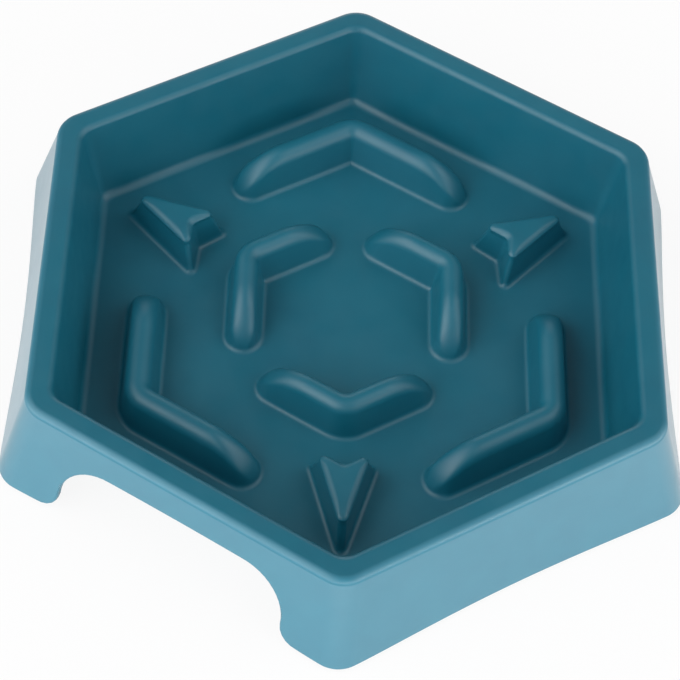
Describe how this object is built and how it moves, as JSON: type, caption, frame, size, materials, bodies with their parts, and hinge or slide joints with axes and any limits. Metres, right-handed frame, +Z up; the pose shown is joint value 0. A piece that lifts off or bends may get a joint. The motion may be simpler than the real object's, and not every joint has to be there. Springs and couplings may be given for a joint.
{
  "type": "slow feeder bowl",
  "caption": "Hexagonal slow feeder bowl for pets: bent ribs and arrowheads in the well, hollow flared skirt with finger arches, push-in rubber feet",
  "frame": {"origin": "middle of the bowl on the table, at the bottom of the feet's pads", "axes": "+Z up, +Y towards the corner that is farthest in the picture, +X towards the flat side on the picture's right"},
  "size_m": [0.242, 0.2758, 0.04],
  "materials": {
    "shell_plastic": "fine satin, moulded in one colour",
    "foot_rubber": "matte"
  },
  "bodies": {
    "root": {"bowl_shell": "shell_plastic", "foot_back_right": "foot_rubber", "foot_back": "foot_rubber", "foot_back_left": "foot_rubber", "foot_front_left": "foot_rubber", "foot_front": "foot_rubber", "foot_front_right": "foot_rubber"}
  },
  "joints": []
}
